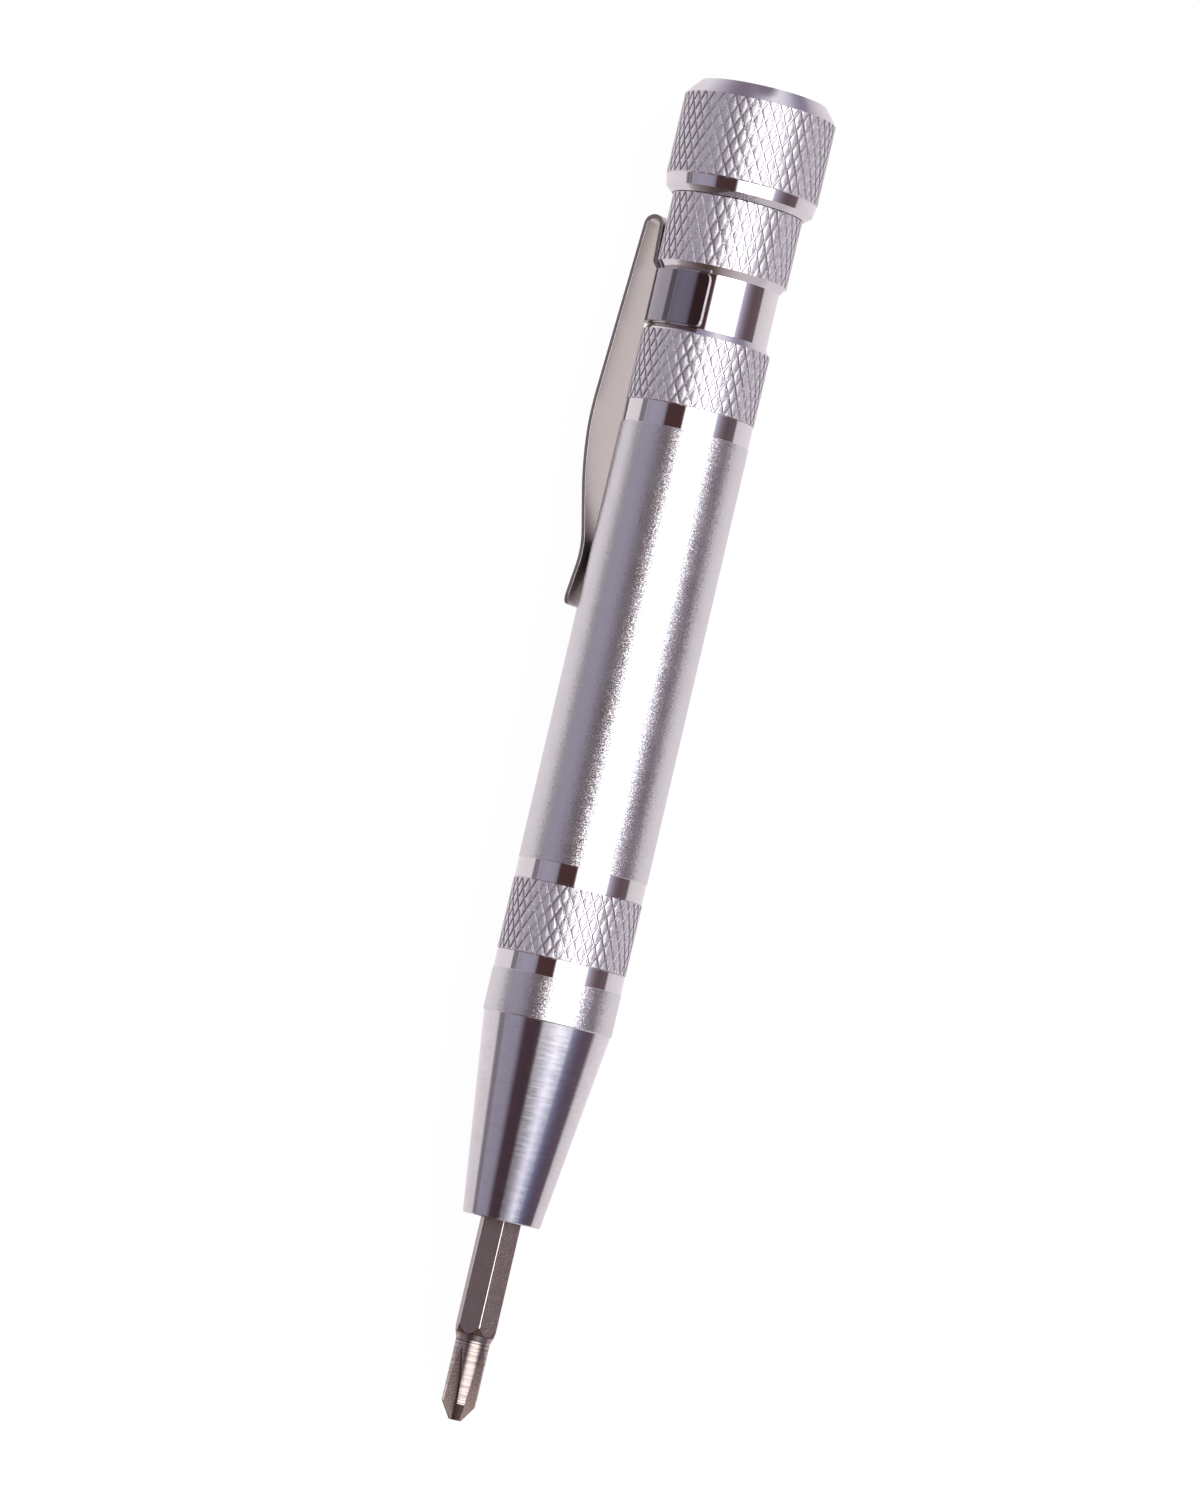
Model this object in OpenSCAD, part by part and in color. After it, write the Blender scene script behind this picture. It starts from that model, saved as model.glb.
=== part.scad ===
// Pocket screwdriver with a pen clip, a free-turning palm cap and spare bits in the barrel.
// Each piece is drawn about its own long axis with the tip of the bit at height zero,
// then laid along Y with the cap's rim on the ground plane and the clip on the -X side.

/* [Knurling] */
// Width of one knurl diamond, measured round the barrel
knurl_pitch = 1.2; // [0.8:0.1:2]
// Height of one knurl diamond, measured along the barrel
knurl_height = 2.2; // [1.4:0.1:3.4]
// Depth of the crossed knurling grooves
knurl_depth = 0.22; // [0.1:0.02:0.3]

/* [Barrel] */
// Outside diameter of the barrel
barrel_d = 13.7; // [13.2:0.1:16]
// Bore that holds the bit magazine
barrel_bore_d = 11.2; // [11:0.1:11.4]
// Thread diameter at both ends of the barrel
thread_d = 12; // [11.8:0.1:12.2]
// How far the bright-turned rings lie below the satin skin
ring_recess = 0.05; // [0.02:0.01:0.15]
// Length of the satin ring behind the nose
satin_ring_len = 4.6; // [3:0.2:8]
// Length of the bright ring below the front knurl
lower_ring_len = 2.0; // [1.2:0.1:4]
// Length of the front knurl
front_knurl_len = 7.5; // [5:0.5:14]
// Length of the bright ring above the front knurl
upper_ring_len = 2.2; // [1.2:0.1:4]
// Length of the bright ring below the tail knurl
tail_ring_len = 2.5; // [1.2:0.1:4]
// Length of the tail knurl
tail_knurl_len = 7.45; // [5:0.05:10]
// Length of the bevel at the barrel's mouth
mouth_bevel_len = 0.7; // [0.4:0.1:1]
// Small bevel that breaks the turned edges
edge_bevel = 0.12; // [0.05:0.01:0.2]

/* [Nose] */
// Length of the bright cone
nose_len = 21; // [16:0.5:28]
// Diameter of the cone's small end
nose_tip_d = 8.25; // [7.8:0.1:10]
// Length of the nose's threaded spigot
nose_spigot_len = 8; // [6:0.5:9]
// Diameter of the steel hex socket
socket_d = 6.4; // [6.2:0.1:7]
// Length of the steel hex socket
socket_len = 12; // [11:0.5:14]
// How far the socket's face lies inside the nose
socket_recess = 0.3; // [0.1:0.1:1]
// Length of the magnet behind the bit
magnet_len = 3; // [2:0.5:4]
// Diameter of the magnet
magnet_d = 3.8; // [3:0.1:3.9]

/* [Bits] */
// Width of the bits across their flats
hex_flats = 4; // [3.9:0.05:4]
// Length of every bit
bit_len = 28; // [26:0.5:28]
// Length of the bit in use that shows below the nose
bit_reach = 21.2; // [18:0.2:22]
// Bevel on the bit's driven end
bit_end_bevel = 0.35; // [0.2:0.05:0.6]
// Turn of the bit in its socket, in degrees from an edge straight up
bit_roll = 8.1; // [0:0.1:60]
// Diameter of the cross-point blade in use
cross_d = 3.6; // [3:0.1:3.8]
// Length of that blade's round part, up to the hexagon's bevel
cross_neck_len = 8.4; // [7:0.1:11]
// Length of the hexagon's front bevel
hex_bevel_len = 1.5; // [1:0.1:2.5]
// Length of the cross-point's cone
cross_point_len = 1.75; // [1.2:0.05:2.2]
// Diameter of the flat end of the cross-point
cross_tip_d = 1.3; // [0.9:0.1:1.6]
// Radius of the disc that mills the flutes
flute_cutter_r = 22; // [12:0.5:24]
// Distance of the flute's floor from the axis at its deepest
flute_floor = 0.6; // [0.3:0.05:0.6]
// Distance of the deepest place from the tip
flute_low = 0.85; // [0.4:0.05:1.6]
// Angle of the flutes, in degrees
flute_angle = 92; // [80:1:100]

/* [Spare bits] */
// Blade diameter of the medium cross-point bit
cross_medium_d = 3; // [2.6:0.1:3.4]
// Blade diameter of the small cross-point bit
cross_small_d = 2; // [1.6:0.1:2.4]
// Blade diameter of the fine cross-point bit
cross_fine_d = 1.5; // [1.2:0.1:1.8]
// Blade width of the wide slotted bit
slot_wide_w = 3; // [2.6:0.1:3.6]
// Blade width of the narrow slotted bit
slot_narrow_w = 2; // [1.5:0.1:2.4]
// Thickness of a slotted blade at its tip
slot_tip_t = 0.4; // [0.3:0.05:0.6]
// Length of a slotted blade's taper
slot_taper_len = 6; // [4:0.5:8]

/* [Magazine] */
// Thickness of the web between two bits
magazine_web = 0.6; // [0.5:0.05:0.7]
// Free length left in the barrel above the bits
bit_play = 0.45; // [0.3:0.05:3]
// Thickness of the floor between the two tiers
magazine_floor = 1; // [0.8:0.1:1.6]
// How far the tail-side bits stand out of the magazine
bit_stand_out = 3; // [2:0.5:6]
// Width of the windows that show the bits
window_w = 2.4; // [1.6:0.1:3]

/* [Tail collar] */
// Diameter of the knurled neck
neck_d = 13.86; // [13.4:0.02:14.6]
// Diameter of the polished groove that the clip sits in
groove_d = 12.6; // [12.5:0.1:13]
// Width of the clip groove
groove_len = 5.85; // [4.5:0.05:8]
// Length of the bevel below the neck
neck_bevel_len = 0.8; // [0.5:0.1:1.2]
// Length of the neck's knurl
neck_knurl_len = 6.9; // [5:0.1:10]
// Length of the threaded spigot in the barrel's mouth
tail_spigot_len = 8; // [7:0.2:8]
// Diameter of the hollow inside the collar
collar_hollow_d = 8.4; // [7:0.2:9]
// Thickness of solid metal above that hollow
collar_web = 9; // [7.5:0.5:10]
// Thickness of the sealing ring's cord
o_ring_t = 1; // [0.9:0.1:1.1]
// Height of the boss that carries the bearing
boss_len = 1.6; // [1:0.1:3]
// Diameter of that boss
boss_d = 4.1; // [3.6:0.1:4.4]

/* [Clip] */
// Thickness of the clip's spring sheet
clip_gauge = 0.45; // [0.35:0.05:0.55]
// Angle that the clip's band wraps round the groove
band_wrap = 222; // [200:2:240]
// Radius of the rounded corners on the band's ends
band_corner_r = 1.0; // [0.5:0.1:1.6]
// Height of the clip's fold above the groove
fold_rise = 5.5; // [4:0.1:6.5]
// Distance between the middle of the tongue and of the arm at the fold
fold_w = 1.86; // [1.4:0.02:2.4]
// Length of the arm's flat stretch, from the fold's top to the crest's corner
arm_flat_len = 24.3; // [18:0.1:32]
// Length of the arm's slope, from the crest's corner to the place that touches the barrel
arm_slope_len = 11.5; // [10:0.1:16]
// Length of the arm's lip, beyond the place that touches the barrel
arm_lip_len = 6; // [4:0.1:9]
// Height of the crest's corner above the barrel
crest_rise = 3.15; // [2.6:0.05:4]
// Bending radius at the crest
crest_r = 40; // [20:1:45]
// Bending radius where the arm touches the barrel
touch_r = 10; // [6:0.5:12]
// How far the lip's end stands up from the barrel
lip_rise = 0.6; // [0.4:0.05:1.4]
// Width of the arm
arm_w = 6.26; // [5:0.02:7]
// Width of the tongue and the fold
tongue_w = 4.4; // [3.6:0.1:5]
// Length over which the arm widens
widen_len = 17; // [8:0.5:20]
// Radius of the lip's rounded corners
lip_corner_r = 1.3; // [0.6:0.1:2]
// Angle of the clip below the horizontal, in degrees
clip_roll = 30; // [0:1:40]

/* [Palm cap] */
// Diameter of the cap over its knurl
cap_d = 16.2; // [15.4:0.1:19]
// Diameter of the cap's lower face
cap_foot_d = 14.2; // [13:0.1:15.5]
// Length of the bevel round the cap's lower face
cap_foot_len = 0.75; // [0.5:0.05:1.5]
// Diameter of the cap's bright ring at its lower edge
cap_ring_d = 15.7; // [15.6:0.05:16]
// Length of the cap's bright ring
cap_ring_len = 1.3; // [0.8:0.1:3]
// Length of the cap's knurl
cap_knurl_len = 8.55; // [6:0.05:14]
// Length of the cap's steep shoulder above the knurl
cap_shoulder_len = 0.7; // [0.4:0.1:1.5]
// Diameter of the cap at the top of that shoulder
cap_shoulder_d = 15.2; // [14:0.1:15.6]
// Length of the cap's top bevel
cap_bevel_len = 1; // [0.6:0.1:2]
// Diameter of the cap's flat end
cap_face_d = 13.5; // [11:0.1:14]
// Outside diameter of the ball bearing
bearing_d = 8; // [7:0.5:9]
// Bore of the ball bearing
bearing_bore_d = 3; // [2.5:0.1:3.2]
// Width of the ball bearing
bearing_w = 4; // [3:0.5:4.5]
// Diameter of the bearing's balls
ball_d = 1.58; // [1.4:0.02:1.7]
// Height of the cage's rims above and below the balls
cage_rim = 0.4; // [0.3:0.05:0.6]
// Number of balls
ball_count = 7; // [5:1:8]
// Diameter of the pivot screw's head
screw_head_d = 5.2; // [4.6:0.1:6]
// Height of the pivot screw's head
screw_head_len = 1.6; // [1.2:0.1:2]
// Length of the pivot screw's shank
screw_len = 10; // [8:0.5:12]

/* [Clearances] */
// Gap round a piece that is pressed or screwed home
seat_gap = 0.02; // [0.01:0.01:0.05]
// Gap round a piece that turns or slides
run_gap = 0.05; // [0.03:0.01:0.08]
// Gap between the clip and the turned metal next to it
clip_gap = 0.12; // [0.08:0.02:0.2]
// Gap below the free-turning cap
cap_gap = 0.18; // [0.1:0.02:0.4]
// Gap round the pivot screw's head inside the cap
head_room = 0.3; // [0.2:0.05:0.5]
// Gap round the magazine and at its ends
magazine_gap = 0.1; // [0.06:0.02:0.15]

/* [Hidden] */
$fn = 96;
// Overrun of every cut past the metal
overrun = 0.5;
// How far the knurl's ends are buried in the rings beside them
knurl_bury = 0.06;
// How far the core under a knurl lies below its grooves
core_sink = 0.12;
// Bending radius of the clip's fold, as a share of half its width
fold_bend_share = 0.99;
// Half the distance between the bearing's rings, as a share of the ball's radius
land_share = 0.62;
// Depth of the screw head's socket and its width, as shares of the head's height and diameter
key_depth_share = 0.6;
key_width_share = 0.42;
// Number of pieces that an arc of the clip's side outline is drawn with
arc_steps = 10;

// Radii and stations along the tool, from the tip of the bit
barrel_r = barrel_d / 2;
bore_r = barrel_bore_d / 2;
thread_r = thread_d / 2;
neck_r = neck_d / 2;
groove_r = groove_d / 2;
cap_r = cap_d / 2;
ring_r = barrel_r - ring_recess;
hex_r = hex_flats / 2 / cos(30);

nose_z = bit_reach;
barrel_z = nose_z + nose_len;
lower_ring_z = barrel_z + satin_ring_len;
front_knurl_z = lower_ring_z + lower_ring_len;
upper_ring_z = front_knurl_z + front_knurl_len;
body_z = upper_ring_z + upper_ring_len;

// Magazine, between the nose's spigot and the tail's: it sets the barrel's length
spigot_end_z = barrel_z + nose_spigot_len;
magazine_z = spigot_end_z + magazine_gap;
magazine_r = bore_r - magazine_gap;
pocket_flats = hex_flats + 2 * magazine_gap;
pocket_r = pocket_flats / 2 / cos(30);
pocket_centre = (pocket_flats + magazine_web) / (2 * cos(30));
lower_pocket_len = bit_len + magazine_gap;
upper_pocket_len = bit_len - bit_stand_out;
divider_z = magazine_z + lower_pocket_len;
upper_floor_z = divider_z + magazine_floor;
magazine_top_z = upper_floor_z + upper_pocket_len;
bits_per_tier = 3;
tier_turn = 360 / bits_per_tier;

// Tail end of the barrel, counted back from its mouth, then the collar and the cap
tail_spigot_z = upper_floor_z + bit_len + bit_play;
mouth_z = tail_spigot_z + tail_spigot_len;
mouth_bevel_z = mouth_z - mouth_bevel_len;
tail_knurl_z = mouth_bevel_z - tail_knurl_len;
tail_ring_z = tail_knurl_z - tail_ring_len;
neck_bevel_z = mouth_z + groove_len;
neck_knurl_z = neck_bevel_z + neck_bevel_len;
collar_top_z = neck_knurl_z + neck_knurl_len + edge_bevel;
cap_z = collar_top_z + cap_gap;
cap_ring_z = cap_z + cap_foot_len;
cap_knurl_z = cap_ring_z + cap_ring_len;
cap_shoulder_z = cap_knurl_z + cap_knurl_len;
cap_bevel_z = cap_shoulder_z + cap_shoulder_len;
total_len = cap_bevel_z + cap_bevel_len;

// Tail spigot, sealing ring and pivot
tail_spigot_r = thread_r - run_gap;
o_ring_z = mouth_z - 2 * o_ring_t;
o_ring_r = thread_r - run_gap - o_ring_t / 2;
collar_hollow_z = collar_top_z - collar_web;
bearing_z = collar_top_z + boss_len;
bearing_r = bearing_d / 2;
bearing_bore_r = bearing_bore_d / 2;
ball_r = ball_d / 2;
ball_circle_r = (bearing_r + bearing_bore_r) / 2;
race_r = ball_r + run_gap / 2;
land_half = ball_r * land_share;
bearing_mid_z = bearing_z + bearing_w / 2;
screw_head_z = bearing_z + bearing_w;
screw_r = bearing_bore_r - seat_gap;

// Clip stations
band_in_r = groove_r + clip_gap;
band_mid_r = band_in_r + clip_gauge / 2;
band_z = mouth_z + clip_gap;
band_len = groove_len - 2 * clip_gap;
fold_top_z = neck_bevel_z + fold_rise;
fold_mid_z = fold_top_z - clip_gauge / 2;
tongue_r = neck_r + clip_gap + clip_gauge / 2;
fold_r = fold_w / 2 * fold_bend_share;
crest_z = fold_top_z - arm_flat_len;
touch_z = crest_z - arm_slope_len;
lip_z = touch_z - arm_lip_len;

// Corner i of an open outline, replaced by an arc of the radius given with it
function unit(v) = v / norm(v);
function corner_arc(p, i) =
    let (a = unit([for (k = [0, 1]) p[i - 1][k] - p[i][k]]),
         b = unit([for (k = [0, 1]) p[i + 1][k] - p[i][k]]),
         half = acos(max(-1, min(1, a * b))) / 2,
         r = p[i][2],
         t = r / tan(half),
         mid = [p[i][0], p[i][1]] + unit(a + b) * r / sin(half),
         u = [p[i][0], p[i][1]] + a * t - mid,
         side = cross(u, [p[i][0], p[i][1]] + b * t - mid) > 0 ? 1 : -1)
    [for (s = [0 : arc_steps])
        let (w = side * (180 - 2 * half) * s / arc_steps)
        mid + [u[0] * cos(w) - u[1] * sin(w), u[0] * sin(w) + u[1] * cos(w)]];
function rounded(p) =
    [[p[0][0], p[0][1]],
     for (i = [1 : len(p) - 2]) each corner_arc(p, i),
     [p[len(p) - 1][0], p[len(p) - 1][1]]];

// Side of a bent sheet: its middle line moved by half its thickness to one side
function normal_at(p, i) =
    let (a = p[max(i - 1, 0)], b = p[min(i + 1, len(p) - 1)], d = unit(b - a))
    [d[1], -d[0]];
function moved(p, by) = [for (i = [0 : len(p) - 1]) p[i] + normal_at(p, i) * by];
function back_to_front(p) = [for (i = [len(p) - 1 : -1 : 0]) p[i]];

// The clip's middle line in side view, as [distance from the axis, height, bending radius]
touch_mid_r = barrel_r + clip_gap + clip_gauge / 2;
fall = atan2(barrel_r + crest_rise - touch_mid_r, arm_slope_len);
lip = atan2(lip_rise, arm_lip_len);
touch_sink = touch_r * (1 / cos((fall + lip) / 2) - 1);
clip_corners = [
    [band_mid_r, band_z + band_len / 2, 0],
    [band_mid_r, neck_bevel_z - clip_gauge, clip_gauge],
    [tongue_r, neck_bevel_z + neck_bevel_len, clip_gauge],
    [tongue_r, fold_mid_z, fold_r],
    [tongue_r + fold_w, fold_mid_z, fold_r],
    [barrel_r + crest_rise, crest_z, crest_r],
    [touch_mid_r - touch_sink, touch_z, touch_r],
    [touch_mid_r + lip_rise, lip_z, 0]];
clip_line = rounded(clip_corners);
clip_side = concat(moved(clip_line, clip_gauge / 2),
                   back_to_front(moved(clip_line, -clip_gauge / 2)));
function arm_half_w(z) =
    let (low = neck_bevel_z - widen_len)
    z > neck_bevel_z ? tongue_w / 2
    : z < low ? arm_w / 2
    : arm_w / 2 + (tongue_w - arm_w) / 2 * (z - low) / widen_len;

// Where the tool's axis lies: the cap's rim on the ground, the whole tool centred
clip_reach = max([for (p = clip_side) p[0] * cos(clip_roll) + arm_half_w(p[1]) * sin(clip_roll)]);
axis_x = (clip_reach - cap_r) / 2;
axis_z = cap_r;

module lay_down() {
    translate([axis_x, -total_len / 2, axis_z]) rotate([-90, 0, 0]) children();
}

// One band of crossed knurling: a closed drum whose skin is a grid of pointed diamonds.
// Its two end rows are buried in the rings beside it.
module knurl_drum(z, length, r) {
    around = 2 * round(2 * PI * r / knurl_pitch);
    rows = max(3, round(2 * length / knurl_height));
    low_r = r - knurl_depth;
    points = [for (i = [0 : rows], j = [0 : around - 1])
        let (end = i == 0 || i == rows,
             rr = end || (i + j) % 2 == 0 ? low_r : r,
             h = i == 0 ? z - knurl_bury
               : i == rows ? z + length + knurl_bury : z + length * i / rows)
        [rr * cos(360 * j / around), rr * sin(360 * j / around), h]];
    skin = [for (i = [0 : rows - 1], j = [0 : around - 1])
        let (k = (j + 1) % around,
             a = i * around + j, b = i * around + k,
             c = (i + 1) * around + k, d = (i + 1) * around + j)
        each (i + j) % 2 == 0 ? [[a, c, b], [a, d, c]] : [[a, d, b], [b, d, c]]];
    floor_face = [[for (j = [0 : around - 1]) j]];
    top_face = [[for (j = [around - 1 : -1 : 0]) rows * around + j]];
    polyhedron(points = points, faces = concat(skin, floor_face, top_face));
}

// Radius of the plain core that a knurled drum is fused to
function core_r(r) = r - knurl_depth - core_sink;

module barrel_outline() {
    b = edge_bevel;
    polygon([
        [0, barrel_z], [barrel_r - b, barrel_z], [barrel_r, barrel_z + b],
        [barrel_r, lower_ring_z - ring_recess], [ring_r, lower_ring_z],
        [ring_r, front_knurl_z - b], [ring_r - b, front_knurl_z],
        [core_r(barrel_r), front_knurl_z], [core_r(barrel_r), upper_ring_z],
        [ring_r - b, upper_ring_z], [ring_r, upper_ring_z + b],
        [ring_r, body_z], [barrel_r, body_z + ring_recess],
        [barrel_r, tail_ring_z - ring_recess], [ring_r, tail_ring_z],
        [ring_r, tail_knurl_z - b], [ring_r - b, tail_knurl_z],
        [core_r(barrel_r), tail_knurl_z], [core_r(barrel_r), mouth_bevel_z],
        [barrel_r - b, mouth_bevel_z], [groove_r, mouth_z], [0, mouth_z]]);
}

module barrel() {
    color("silver") lay_down() difference() {
        union() {
            rotate_extrude() barrel_outline();
            knurl_drum(front_knurl_z, front_knurl_len, barrel_r);
            knurl_drum(tail_knurl_z, tail_knurl_len, barrel_r);
        }
        translate([0, 0, barrel_z - overrun]) cylinder(r = bore_r, h = mouth_z - barrel_z + 2 * overrun);
        translate([0, 0, barrel_z - overrun]) cylinder(r = thread_r, h = nose_spigot_len + overrun);
        translate([0, 0, tail_spigot_z - magazine_gap])
            cylinder(r = thread_r, h = tail_spigot_len + magazine_gap + overrun);
    }
}

module nose_cone() {
    b = edge_bevel;
    tip_r = nose_tip_d / 2;
    color("lightgray") lay_down() difference() {
        rotate_extrude() polygon([
            [0, nose_z], [tip_r - b, nose_z], [tip_r, nose_z + b],
            [barrel_r - b, barrel_z], [thread_r - seat_gap, barrel_z],
            [thread_r - seat_gap, spigot_end_z - b], [thread_r - seat_gap - b, spigot_end_z],
            [0, spigot_end_z]]);
        translate([0, 0, nose_z - overrun])
            cylinder(d = socket_d + 2 * seat_gap, h = socket_recess + socket_len + overrun);
        translate([0, 0, nose_z - overrun]) cylinder(r = magnet_d / 2, h = spigot_end_z);
    }
}

module hexagon_bar(flats, z, length) {
    translate([0, 0, z]) rotate([0, 0, bit_roll - 90]) cylinder(r = flats / 2 / cos(30), h = length, $fn = 6);
}

module hex_socket() {
    z = nose_z + socket_recess;
    bevel = socket_recess;
    color("dimgray") lay_down() difference() {
        translate([0, 0, z]) cylinder(d = socket_d, h = socket_len);
        hexagon_bar(hex_flats + 2 * run_gap, z - overrun, bit_len + seat_gap - z + overrun);
        translate([0, 0, z]) cylinder(r1 = hex_r + bevel, r2 = hex_r - bevel, h = 2 * bevel);
        translate([0, 0, bit_len]) cylinder(d = magnet_d + 2 * seat_gap, h = magnet_len + seat_gap);
    }
}

module socket_magnet() {
    color("gainsboro") lay_down() translate([0, 0, bit_len + seat_gap])
        cylinder(d = magnet_d, h = magnet_len);
}

// Hexagonal shank with a bevel at each end, for a blade whose root has the given radius
module bit_shank(neck_z, root_r) {
    intersection() {
        cylinder(r = hex_r, h = bit_len, $fn = 6);
        rotate_extrude() polygon([
            [0, neck_z], [root_r, neck_z],
            [hex_r, neck_z + hex_bevel_len], [hex_r, bit_len - bit_end_bevel],
            [hex_r - bit_end_bevel, bit_len], [0, bit_len]]);
    }
}

// Cross-point bit: a turned blade with four milled flutes. The blade's sizes follow its diameter.
module cross_bit(d) {
    k = d / cross_d;
    half = flute_angle / 2;
    wedge = d;
    bit_shank(cross_neck_len, d / 2);
    difference() {
        rotate_extrude() polygon([
            [0, 0], [k * cross_tip_d / 2, 0], [d / 2, k * cross_point_len],
            [d / 2, cross_neck_len + hex_bevel_len / 2], [0, cross_neck_len + hex_bevel_len / 2]]);
        for (a = [0 : 90 : 270])
            rotate([0, 0, a + 45])
                translate([k * (flute_floor + flute_cutter_r), 0, k * flute_low])
                    rotate([90, 0, 0]) rotate_extrude() polygon([
                        [k * flute_cutter_r, 0],
                        [k * flute_cutter_r - wedge, wedge * tan(half)],
                        [k * flute_cutter_r - wedge, -wedge * tan(half)]]);
    }
}

// Slotted bit: a round blade ground to a flat wedge
module slotted_bit(w) {
    r = w / 2;
    t = slot_tip_t / 2;
    bit_shank(cross_neck_len, r);
    intersection() {
        cylinder(r = r, h = cross_neck_len + hex_bevel_len / 2);
        translate([0, r, 0]) rotate([90, 0, 0]) linear_extrude(height = w) polygon([
            [-t, 0], [t, 0], [r, slot_taper_len], [r, cross_neck_len + hex_bevel_len],
            [-r, cross_neck_len + hex_bevel_len], [-r, slot_taper_len]]);
    }
}

module driver_bit() {
    color("#5d5552") lay_down() rotate([0, 0, bit_roll - 90]) cross_bit(cross_d);
}

// Place of a spare bit: lower bits point to the nose, upper ones to the tail
module in_lower_pocket(i) {
    rotate([0, 0, i * tier_turn]) translate([pocket_centre, 0, magazine_z]) children();
}

module in_upper_pocket(i) {
    rotate([0, 0, i * tier_turn])
        translate([pocket_centre, 0, upper_floor_z + bit_len]) mirror([0, 0, 1]) children();
}

module bit_pocket(i, z, length) {
    rotate([0, 0, i * tier_turn]) translate([pocket_centre, 0, z]) {
        cylinder(r = pocket_r, h = length, $fn = 6);
        translate([0, -window_w / 2, 0]) cube([magazine_r, window_w, length]);
    }
}

module bit_magazine() {
    color("#26272a") lay_down() difference() {
        translate([0, 0, magazine_z]) cylinder(r = magazine_r, h = magazine_top_z - magazine_z);
        for (i = [0 : bits_per_tier - 1]) {
            bit_pocket(i, magazine_z - overrun, lower_pocket_len + overrun);
            bit_pocket(i, upper_floor_z, upper_pocket_len + overrun);
        }
    }
}

module cross_bit_medium() { color("dimgray") lay_down() in_upper_pocket(0) cross_bit(cross_medium_d); }
module cross_bit_small() { color("dimgray") lay_down() in_upper_pocket(1) cross_bit(cross_small_d); }
module cross_bit_fine() { color("dimgray") lay_down() in_lower_pocket(0) cross_bit(cross_fine_d); }
module slotted_bit_wide() { color("dimgray") lay_down() in_upper_pocket(2) slotted_bit(slot_wide_w); }
module slotted_bit_narrow() { color("dimgray") lay_down() in_lower_pocket(1) slotted_bit(slot_narrow_w); }

module tail_collar() {
    b = edge_bevel;
    s = tail_spigot_r;
    groove_in_r = o_ring_r - o_ring_t / 2 - seat_gap;
    color("silver") lay_down() difference() {
        union() {
            rotate_extrude() polygon([
                [0, tail_spigot_z], [s - b, tail_spigot_z], [s, tail_spigot_z + b],
                [s, o_ring_z - run_gap], [groove_in_r, o_ring_z - run_gap],
                [groove_in_r, o_ring_z + o_ring_t + run_gap], [s, o_ring_z + o_ring_t + run_gap],
                [s, mouth_z], [groove_r, mouth_z], [groove_r, neck_bevel_z],
                [neck_r - b, neck_knurl_z], [core_r(neck_r), neck_knurl_z],
                [core_r(neck_r), neck_knurl_z + neck_knurl_len],
                [neck_r - b, neck_knurl_z + neck_knurl_len], [neck_r - 2 * b, collar_top_z],
                [boss_d / 2, collar_top_z], [boss_d / 2, bearing_z], [0, bearing_z]]);
            knurl_drum(neck_knurl_z, neck_knurl_len, neck_r);
        }
        translate([0, 0, tail_spigot_z - overrun])
            cylinder(d = collar_hollow_d, h = collar_hollow_z - tail_spigot_z + overrun);
        translate([0, 0, screw_head_z - screw_len - seat_gap])
            cylinder(r = screw_r + seat_gap, h = screw_len + overrun);
    }
}

module tail_o_ring() {
    color("#1b1b1c") lay_down() translate([0, 0, o_ring_z + o_ring_t / 2])
        rotate_extrude() translate([o_ring_r, 0]) circle(d = o_ring_t, $fn = 32);
}

// One corner of the band's end: the square corner that rounding takes away
module band_corner(side) {
    r = band_corner_r;
    translate([0, side * (band_len / 2 - r), 0]) difference() {
        translate([0, side > 0 ? 0 : -r - overrun, -overrun])
            cube([r + overrun, r + overrun, 4 * clip_gauge]);
        translate([0, 0, -2 * overrun]) cylinder(r = r, h = 4 * clip_gauge + 2 * overrun);
    }
}

module band_end(turn, hand) {
    for (side = [-1, 1])
        rotate([0, 0, turn]) translate([band_in_r - clip_gauge, 0, band_z + band_len / 2])
            rotate([90, 0, 90]) translate([-hand * band_corner_r, 0, 0])
                scale([hand, 1, 1]) band_corner(side);
}

// C-shaped band that snaps into the groove
module clip_band() {
    difference() {
        rotate([0, 0, -band_wrap / 2]) rotate_extrude(angle = band_wrap)
            translate([band_in_r, band_z]) square([clip_gauge, band_len]);
        band_end(band_wrap / 2, 1);
        band_end(-band_wrap / 2, -1);
    }
}

// Front outline of the tongue, fold and arm
module arm_outline() {
    low = neck_bevel_z - widen_len;
    c = lip_corner_r;
    half = arm_w / 2;
    steps = [0 : 90 / 6 : 90];
    right = concat(
        [for (a = steps) [half - c + c * sin(a), lip_z + c - c * cos(a)]],
        [[half, low], [tongue_w / 2, neck_bevel_z], [tongue_w / 2, fold_top_z + overrun]]);
    polygon(concat(right, [for (p = back_to_front(right)) [-p[0], p[1]]]));
}

module pocket_clip() {
    color("gainsboro") lay_down() rotate([0, 0, 180 - clip_roll]) union() {
        clip_band();
        intersection() {
            translate([0, arm_w, 0]) rotate([90, 0, 0]) linear_extrude(height = 2 * arm_w) polygon(clip_side);
            rotate([90, 0, 90]) linear_extrude(height = 2 * cap_r) arm_outline();
        }
    }
}

module pivot_screw() {
    key_depth = screw_head_len * key_depth_share;
    color("#8a8a8c") lay_down() difference() {
        union() {
            translate([0, 0, screw_head_z - screw_len]) cylinder(r = screw_r, h = screw_len);
            translate([0, 0, screw_head_z]) cylinder(d = screw_head_d, h = screw_head_len);
        }
        translate([0, 0, screw_head_z + screw_head_len - key_depth])
            cylinder(d = screw_head_d * key_width_share, h = key_depth + overrun, $fn = 6);
    }
}

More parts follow.
